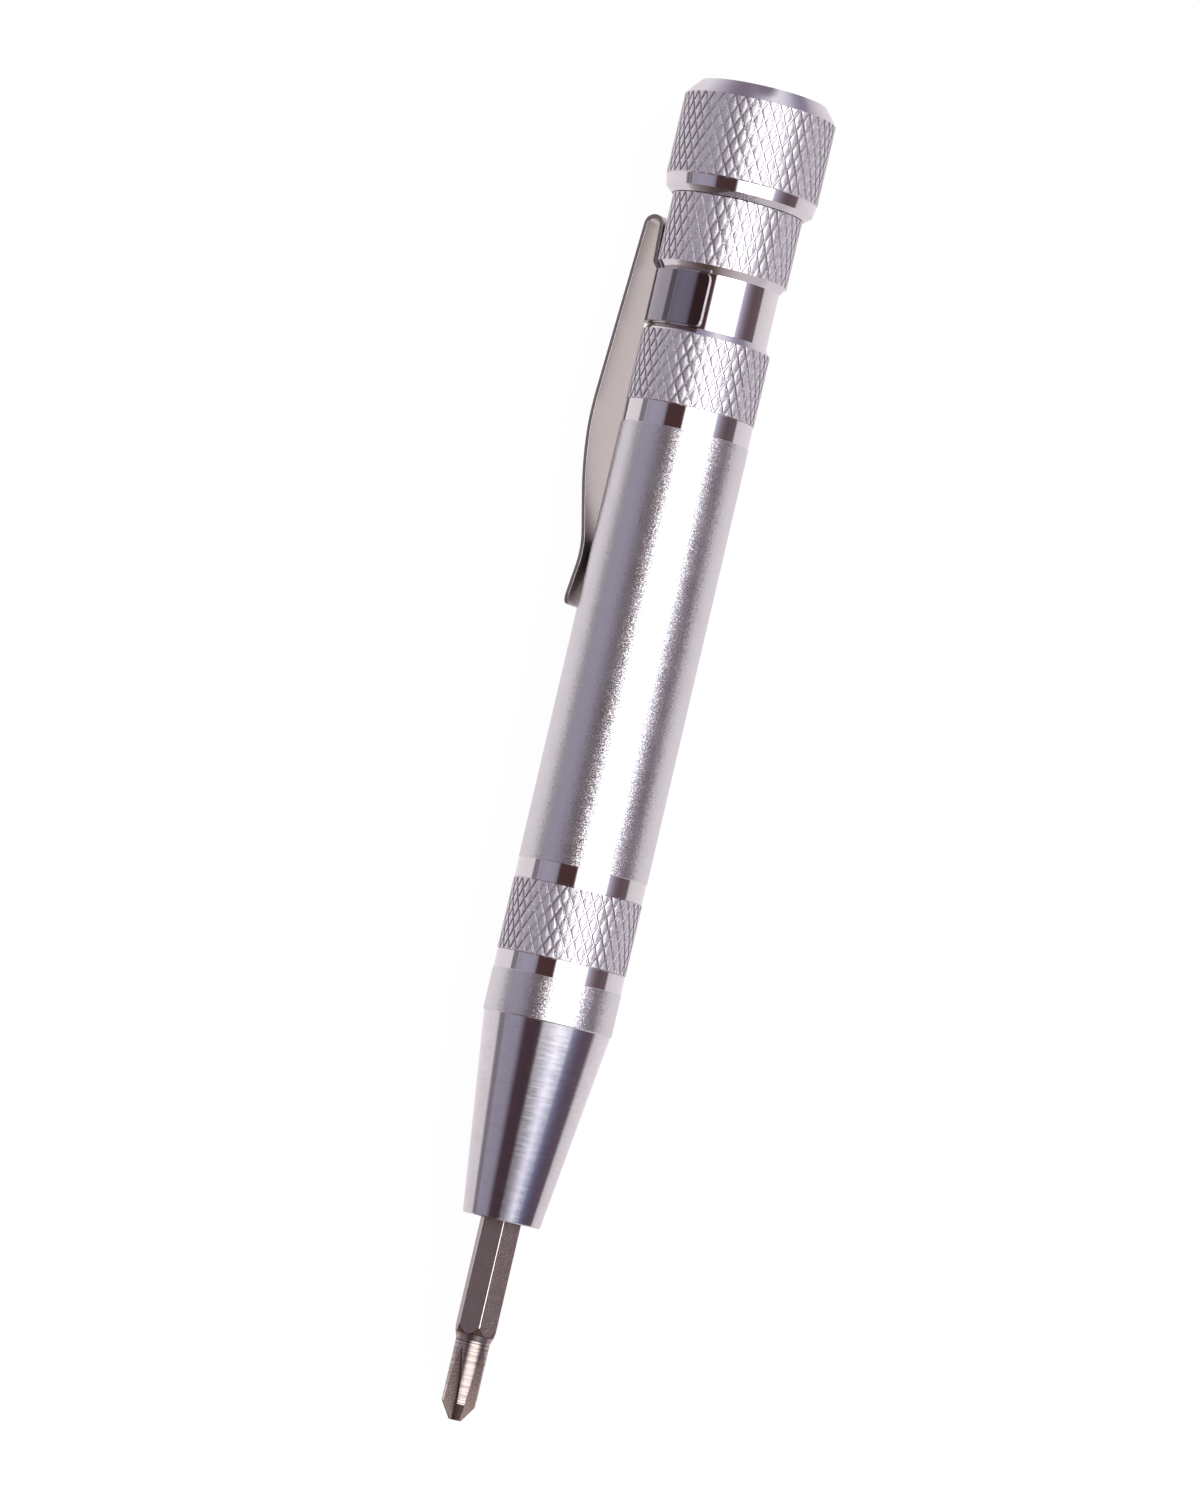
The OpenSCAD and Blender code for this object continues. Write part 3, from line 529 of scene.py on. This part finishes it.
def turned_metal(name, colour, roughness, lines, line_pitch, wear):
    """Polished metal with turning marks, darkened a little by wear in streaks that run round it."""
    streak_stretch, smear_size, worn_low, worn_high = 9, 1.1, 0.75, 1.25
    streak_low, streak_high, glossiest, dullest = 0.40, 0.68, 0.92, 1.2
    material, tree, coords = blank(name)
    around = wrapped(tree, coords, streak_stretch)
    streaks = noise(tree, around, line_pitch, detail=4.0, roughness=0.65)["Fac"]
    smears = noise(tree, coords, smear_size, detail=5.0, roughness=0.6)["Fac"]
    worn = spread(tree, maths(tree, "ADD", streaks, smears), worn_low, worn_high, 1 - wear, 1.0)
    tint = blend(tree, 1.0, linear(*colour), worn, blend_type="MULTIPLY")
    sheen = spread(tree, streaks, streak_low, streak_high, roughness * glossiest, roughness * dullest)
    shade(tree, tint, sheen, turned(tree, coords, line_pitch, MM * lines))
    return material


turned_steel = turned_metal("turned_polished_steel", (240, 237, 241), 0.105, lines=0.00012,
                            line_pitch=0.3, wear=0.11)
bm = lathe([
    (socket_r, nose_face), (nose_tip_r - edge, nose_face), (nose_tip_r, nose_face + edge),
    (barrel_r - edge, barrel_start), (nose_thread_r, barrel_start), (nose_thread_r, spigot_end - edge),
    (nose_thread_r - edge, spigot_end), (punch_r, spigot_end), (punch_r, socket_end),
    (socket_r, socket_end)], nose_steps)
finish_piece("nose_skin", bm, "handle", "nose_cone", [turned_steel])


# Hexagonal socket and its magnet. A ground steel insert pressed into the nose's bore,
# and a small nickel-plated magnet in it that holds the bit by its end.
def dress(node, material):
    """Gives a CAD piece its finish."""
    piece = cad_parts[node]
    piece.data.materials.clear()
    piece.data.materials.append(material)


ground_steel = metal("ground_steel", (190, 190, 194), 0.22, lines=0.001, line_pitch=0.08)
magnet_nickel = metal("magnet_nickel", (210, 206, 196), 0.16)
dress("hex_socket", ground_steel)
dress("socket_magnet", magnet_nickel)


# Driver bit. Hardened tool steel, dark from its heat treatment: a 4 mm hexagonal shank,
# a turned blade and four milled flutes that leave the wings of a cross-point.
blade_r, point_end, neck_start, cone_start, hex_corner_r, hex_start = 1.8, 1.75, 8.98, 8.4, 2.3094, 9.9
cone_rise = (hex_corner_r - blade_r) / (hex_start - cone_start)
sharp_turn, flat_turn = 56, 16.5
corner_break, tip_break, corner_share = 0.07, 0.03, 0.985


def off_axis(tree, coords):
    """How far a point lies from the tool's axis."""
    radial = vectors(tree, "SUBTRACT", coords, (axis_x, 0, axis_z))
    return vectors(tree, "LENGTH", vectors(tree, "MULTIPLY", radial, (1, 0, 1)), result="Value")


def tool_steel(name):
    """Dark heat-treated steel, left bright with coarse turning rings on the blade's round faces."""
    shank_tint, milled_tint, cone_tint = linear(182, 166, 160), linear(120, 103, 98), linear(112, 92, 84)
    cut_tint, ridge_tint = linear(112, 94, 88), linear(208, 195, 191)
    cut_level, ridge_level, ring_pitch, ring_height, ring_stretch = 0.36, 0.58, 0.17, 0.010, 260
    pit_size, pit_height, ringed_pit_height = 0.17, 0.045, 0.002
    roughness, ringed_roughness = 0.36, 0.29
    border, cone_far, cone_near = 0.05, 0.04, 0.015
    point_y, neck_y = tip_y + point_end * MM, tip_y + neck_start * MM
    cone_skin = MM * blade_r - cone_rise * (tip_y + cone_start * MM)
    material, tree, coords = blank(name)
    height = wire(tree, "ShaderNodeSeparateXYZ", {0: coords}).outputs["Y"]
    radius = off_axis(tree, coords)
    skin = spread(tree, radius, MM * (blade_r - 2 * border), MM * (blade_r - border))
    blade = spread(tree, height, neck_y, neck_y + border * MM, 1.0, 0.0)
    past_point = spread(tree, height, point_y - border * MM, point_y)
    ringed = maths(tree, "MULTIPLY", maths(tree, "MULTIPLY", skin, blade), past_point)
    outwards = maths(tree, "MULTIPLY_ADD", height, -cone_rise, radius)
    on_cone = spread(tree, outwards, cone_skin - cone_far * MM, cone_skin - cone_near * MM)
    cone = maths(tree, "MULTIPLY", on_cone, maths(tree, "SUBTRACT", 1.0, blade))
    around = wrapped(tree, coords, ring_stretch)
    rings = noise(tree, around, ring_pitch, detail=3.0, roughness=0.65)["Fac"]
    ring_tint = blend(tree, spread(tree, rings, cut_level, ridge_level), cut_tint, ridge_tint)
    tint = blend(tree, blade, shank_tint, milled_tint)
    tint = blend(tree, ringed, tint, ring_tint)
    tint = blend(tree, cone, tint, cone_tint)
    pitting = spread(tree, ringed, 0.0, 1.0, pit_height * MM, ringed_pit_height * MM)
    normal = bump(tree, ring_height * MM, maths(tree, "MULTIPLY", rings, ringed),
                  pitted(tree, coords, pit_size, pitting))
    shade(tree, tint, spread(tree, ringed, 0.0, 1.0, roughness, ringed_roughness), normal)
    return material


def broken_edge_steel(name, shank_colour, blade_colour, roughness, grain, grain_size):
    """The broken edges' finish: partly bare metal worn through, partly a painted highlight along the edges;
    bright along the shank, darker at the blade.
    """
    material, tree, coords = blank(name)
    height = wire(tree, "ShaderNodeSeparateXYZ", {0: coords}).outputs["Y"]
    shank = spread(tree, height, tip_y + neck_start * MM, tip_y + hex_start * MM)
    tint = blend(tree, shank, linear(*blade_colour), linear(*shank_colour))
    shade(tree, tint, roughness, pitted(tree, coords, grain_size, MM * grain))
    return material


def sharp_edges(bm):
    """The edges between faces that turn sharply from one another."""
    return [e for e in bm.edges if e.calc_face_angle(0.0) > radians(sharp_turn)]


def ground_bit(node, body, materials):
    """Makes a bit from its CAD solid, with the hexagon's corners and the tip's edges broken."""
    bm = bmesh.new()
    bm.from_mesh(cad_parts[node].data)
    bmesh.ops.remove_doubles(bm, verts=bm.verts, dist=weld)
    low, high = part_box(node)
    middle = (low + high) / 2
    corner_r = corner_share * hex_corner_r * MM
    corners = [e for e in sharp_edges(bm)
               if all(hypot(v.co.x - middle.x, v.co.z - middle.z) > corner_r for v in e.verts)]
    bmesh.ops.bevel(bm, geom=corners, affect="EDGES", offset=corner_break * MM, segments=3, profile=0.5,
                    material=1, clamp_overlap=False)
    bmesh.ops.bevel(bm, geom=sharp_edges(bm), affect="EDGES", offset=tip_break * MM, segments=2, profile=0.5,
                    material=1, clamp_overlap=True)
    piece = finish_piece(node + "_skin", bm, body, node, materials, crease=flat_turn)
    piece.modifiers.new("flats", "WEIGHTED_NORMAL").keep_sharp = True


bit_steel = tool_steel("dark_tool_steel")
# The broken edges are tinted brighter than the faces beside them: worn bare metal and a painted highlight
# both
edge_wear_and_painted_highlight = broken_edge_steel("edge_wear_and_painted_highlight_steel", (244, 238, 235), (128, 110, 104), 0.24,
                              grain=0.01, grain_size=0.2)
ground_bit("driver_bit", "bit", [bit_steel, edge_wear_and_painted_highlight])


# Bit magazine and spare bits. A black moulded holder that slides in the barrel, with six
# hexagonal pockets in two tiers. Five hold spare bits; the sixth is for the bit in use.
def moulded(name, colour, roughness):
    """A moulded skin with a fine matt grain."""
    pit_size, pit_height = 0.15, 0.01
    material, tree, coords = blank(name)
    normal = bump(tree, MM * pit_height, noise(tree, coords, pit_size, detail=3.0)["Fac"])
    shade(tree, linear(*colour), roughness, normal, metallic=0.0)
    return material


spare_steel = metal("spare_bit_steel", (172, 156, 151), 0.34, grain=0.014, grain_size=0.16)
black_nylon = moulded("black_nylon", (38, 38, 40), 0.42)
dress("bit_magazine", black_nylon)
for spare in ("cross_bit_medium", "cross_bit_small", "cross_bit_fine", "slotted_bit_wide",
              "slotted_bit_narrow"):
    ground_bit(spare, "magazine", [spare_steel, edge_wear_and_painted_highlight])


# Tail collar. Polished steel with a knurled neck; its groove carries the clip, and its
# threaded spigot closes the barrel. The rubber ring on the spigot keeps it from rattling.
neck_r, groove_r, collar_top_r = 6.93, 6.3, 6.87
neck_bevel, neck_knurl, neck_end, collar_top = 121.7, 122.5, 129.76, 129.82
spigot_r, spigot_start = 5.95, 107.85
seal_low, seal_high, seal_floor_r = 113.8, 114.9, 4.93
hollow_r, hollow_end = 4.2, 120.52
boss_r, boss_end, screw_hole_r, screw_hole_end = 2.05, 131.12, 1.5, 125.1
neck_rows = 6


def close_ring(bm, ring, station):
    """Closes an open ring with a flat end at a station."""
    made = bmesh.ops.extrude_edge_only(bm, edges=ring)["geom"]
    new = [part for part in made if isinstance(part, bmesh.types.BMVert)]
    bmesh.ops.pointmerge(bm, verts=new, merge_co=at(0, station))


bm = knurl(neck_r, neck_knurl, neck_end - neck_knurl, knurl_around, neck_rows)
ring = grow(bm, open_ring(bm, neck_knurl), [
    (neck_r - edge, neck_knurl), (groove_r, neck_bevel), (groove_r, mouth), (spigot_r, mouth),
    (spigot_r, seal_high), (seal_floor_r, seal_high), (seal_floor_r, seal_low), (spigot_r, seal_low),
    (spigot_r, spigot_start + edge), (spigot_r - edge, spigot_start), (hollow_r, spigot_start),
    (hollow_r, hollow_end)])
close_ring(bm, ring, hollow_end)
ring = grow(bm, open_ring(bm, neck_end), [
    (collar_top_r, collar_top), (boss_r, collar_top), (boss_r, boss_end),
    (screw_hole_r, boss_end), (screw_hole_r, screw_hole_end)])
close_ring(bm, ring, screw_hole_end)
finish_piece("collar_skin", bm, "tail", "tail_collar",
             [polished_steel, polished_steel] + knurl_steels)
dress("tail_o_ring", moulded("black_rubber", (26, 26, 27), 0.55))


# Pocket clip. One strip of bright spring steel: a band that snaps into the collar's
# groove, a tongue folded over at the top, and an arm that springs against the barrel.
clip_turn_deg = -120.0
gauge = 0.45
band_r, band_low, band_high, band_half = 6.645, 115.97, 121.58, 111.0
tongue_r, tongue_half = 7.275, 2.2
tongue_turn = degrees(tongue_half / band_r)
jog_low, jog_high, jog_low_bend, jog_high_bend = 121.8, 122.6, 0.3, 0.45
fold_top, fold_half, arm_half = 127.5, 0.93, 3.13
fold_bend = fold_half * 0.99
crest_station, touch_station, lip_station = 102.9, 91.4, 85.4
crest_r, touch_r, lip_r, lip_reach = 10.0, 7.05, 7.8, 1
crest_bend, touch_bend, bend_steps = 40.0, 10.0, 10
flatten_length, widen_end = 3.0, 104.7
strip_rows, tongue_steps, side_steps = 6, 8, 24
band_corner, lip_corner, sheet_edge, sheet_edge_turn = 0.9, 1.1, 0.08, 50


def spring_sheet(name, band_colour, arm_colour, roughness):
    """Bright where the band was pressed round the groove, duller and warmer along the arm."""
    band_most_r, arm_least_r, arm_most_station, band_least_station = 7.0, 7.6, 112, 115.9
    grain_size, grain, arm_dullness = 0.25, 0.002, 3.2
    material, tree, coords = blank(name)
    height = wire(tree, "ShaderNodeSeparateXYZ", {0: coords}).outputs["Y"]
    outside = spread(tree, off_axis(tree, coords), MM * band_most_r, MM * arm_least_r)
    below = spread(tree, height, tip_y + MM * arm_most_station, tip_y + MM * band_least_station, 1.0, 0.0)
    arm = maths(tree, "MAXIMUM", outside, below)
    tint = blend(tree, arm, linear(*band_colour), linear(*arm_colour))
    sheen = spread(tree, arm, 0.0, 1.0, roughness, roughness * arm_dullness)
    shade(tree, tint, sheen, pitted(tree, coords, grain_size, MM * grain))
    return material


def bend(points, steps):
    """Points of (radius, station, bending radius) as a line with its corners turned into arcs."""
    line = [Vector(points[0][:2])]
    for before, here, after in zip(points, points[1:], points[2:]):
        corner = Vector(here[:2])
        a = (Vector(before[:2]) - corner).normalized()
        b = (Vector(after[:2]) - corner).normalized()
        half = a.angle(b) / 2
        middle = corner + (a + b).normalized() * here[2] / sin(half)
        reach = here[2] / tan(half)
        first, last = corner + a * reach - middle, corner + b * reach - middle
        for k in range(steps + 1):
            line.append(middle + first.slerp(last, k / steps).normalized() * here[2])
    line.append(Vector(points[-1][:2]))
    return line


def on_tongue(v):
    """Whether a point of the band lies within the tongue's width."""
    slack = 0.01
    turn = degrees(atan2(v.co.x - axis_x, v.co.z - axis_z)) - clip_turn_deg
    return abs((turn + 180) % 360 - 180) <= tongue_turn + slack


clip_steel = spring_sheet("bright_spring_steel", (164, 159, 168), (220, 213, 208), 0.09)
sheared_steel = metal("sheared_edge_steel", (178, 168, 164), 0.22, grain=0.05, grain_size=0.22)
strip_line = bend([
    (band_r, band_high, 0.0), (band_r, jog_low, jog_low_bend), (tongue_r, jog_high, jog_high_bend),
    (tongue_r, fold_top - gauge / 2, fold_bend),
    (tongue_r + 2 * fold_half, fold_top - gauge / 2, fold_bend),
    (crest_r, crest_station, crest_bend), (touch_r, touch_station, touch_bend),
    (lip_r, lip_station, 0.0)], bend_steps)

# The band, spun round the axis in three stretches, the middle one as wide as the tongue
bm = bmesh.new()
row_height = (band_high - band_low) / strip_rows
column = [bm.verts.new(at(band_r, band_low + row_height * k, clip_turn_deg - band_half))
          for k in range(strip_rows + 1)]
ring = [bm.edges.new(pair) for pair in zip(column, column[1:])]
for angle, steps in ((band_half - tongue_turn, side_steps), (2 * tongue_turn, tongue_steps),
                     (band_half - tongue_turn, side_steps)):
    made = bmesh.ops.spin(bm, geom=ring, cent=at(0, 0), axis=(0, 1, 0), angle=radians(angle), steps=steps)
    ring = [part for part in made["geom_last"] if isinstance(part, bmesh.types.BMEdge)]

# The tongue, the fold and the arm, carried on from the band's top along the strip's line
ring = [e for e in open_ring(bm, band_high) if all(on_tongue(v) for v in e.verts)]
out = Vector((sin(radians(clip_turn_deg)), 0, cos(radians(clip_turn_deg))))
side = Vector((cos(radians(clip_turn_deg)), 0, -sin(radians(clip_turn_deg))))
share = {}
for v in {v for e in ring for v in e.verts}:
    share[v] = (v.co - at(0, band_high)).dot(side) / (MM * band_r * sin(radians(tongue_turn)))
folded = False
for radius, station in strip_line[1:]:
    folded = folded or radius > tongue_r + fold_half
    made = bmesh.ops.extrude_edge_only(bm, edges=ring)["geom"]
    new = [part for part in made if isinstance(part, bmesh.types.BMVert)]
    width, flat = tongue_half, min(1.0, max(0.0, (station - band_high) / flatten_length))
    if folded:
        widened = min(1.0, max(0.0, (band_high - station) / (band_high - widen_end)))
        width, flat = tongue_half + (arm_half - tongue_half) * widened, 1.0
    nearest = {v: min(share, key=lambda old: (old.co - v.co).length) for v in new}
    share = {v: share[nearest[v]] for v in new}
    for v, s in share.items():
        sag = (1 - cos(radians(tongue_turn) * s)) * band_r * (1 - flat)
        v.co = at(0, station) + out * MM * (radius - sag) + side * MM * width * s
    ring = [part for part in made
            if isinstance(part, bmesh.types.BMEdge) and all(v in share for v in part.verts)]
corners = [v for v in bm.verts if len(v.link_edges) == 2]
lip_corners = [v for v in corners if v.co.y < tip_y + MM * (lip_station + lip_reach)]
band_corners = [v for v in corners if v not in lip_corners]
bmesh.ops.bevel(bm, geom=band_corners, affect="VERTICES", offset=band_corner * MM, segments=5,
                profile=0.5, material=-1)
bmesh.ops.bevel(bm, geom=lip_corners, affect="VERTICES", offset=lip_corner * MM, segments=5,
                profile=0.5, material=-1)
clip = finish_piece("clip_skin", bm, "clip", "pocket_clip", [clip_steel, sheared_steel])
sheet = clip.modifiers.new("sheet", "SOLIDIFY")
sheet.thickness = gauge * MM
sheet.offset = 0.0
sheet.use_even_offset = True
sheet.material_offset_rim = 1
rounding = clip.modifiers.new("rounding", "BEVEL")
rounding.width = sheet_edge * MM
rounding.segments = 3
rounding.limit_method = "ANGLE"
rounding.angle_limit = radians(sheet_edge_turn)
rounding.harden_normals = True


# Ball bearing and pivot screw, hidden in the cap. The steel screw clamps the inner ring on
# the collar's boss, and the cap is pressed on the outer ring. The cage is turned brass.
for hidden in ("bearing_inner_ring", "bearing_outer_ring", "bearing_balls", "pivot_screw"):
    dress(hidden, ground_steel)
dress("bearing_cage", metal("turned_brass", (196, 158, 92), 0.25, lines=0.001))


# Palm cap. Turned from solid steel: a polished foot and ring, a knurled rim and a
# polished bevel round the flat end that the palm presses on.
cap_r = 8.1
cap_foot, cap_ring, cap_knurl, cap_shoulder, cap_bevel, cap_end = 129.86, 130.45, 131.75, 140.3, 141.0, 142.0
foot_r, cap_ring_low_r, cap_ring_high_r, shoulder_r, face_r = 7.1, 7.85, 8.05, 7.6, 6.75
shoulder_in, shoulder_up = 0.07, 0.04
face_edge_in, face_edge_down, face_margin = 0.1, 0.12, 0.2
seat_r, seat_end, head_room_r, head_room_end = 4.02, 135.14, 2.9, 137.0
cap_around, cap_rows = 42, 8
bm = knurl(cap_r, cap_knurl, cap_shoulder - cap_knurl, cap_around, cap_rows)
ring = grow(bm, open_ring(bm, cap_knurl), [
    (cap_r - edge, cap_knurl), (cap_ring_high_r, cap_knurl - edge), (cap_ring_low_r, cap_ring),
    (foot_r, cap_foot), (seat_r, cap_foot), (seat_r, seat_end), (head_room_r, seat_end),
    (head_room_r, head_room_end)])
close_ring(bm, ring, head_room_end)
ring = grow(bm, open_ring(bm, cap_shoulder), [
    (cap_r - shoulder_in, cap_shoulder + shoulder_up), (shoulder_r, cap_bevel),
    (face_r + face_edge_in, cap_end - face_edge_down), (face_r, cap_end), (face_r - face_margin, cap_end)])
close_ring(bm, ring, cap_end)
finish_piece("cap_skin", bm, "cap", "swivel_cap",
             [polished_steel, polished_steel] + knurl_steels)
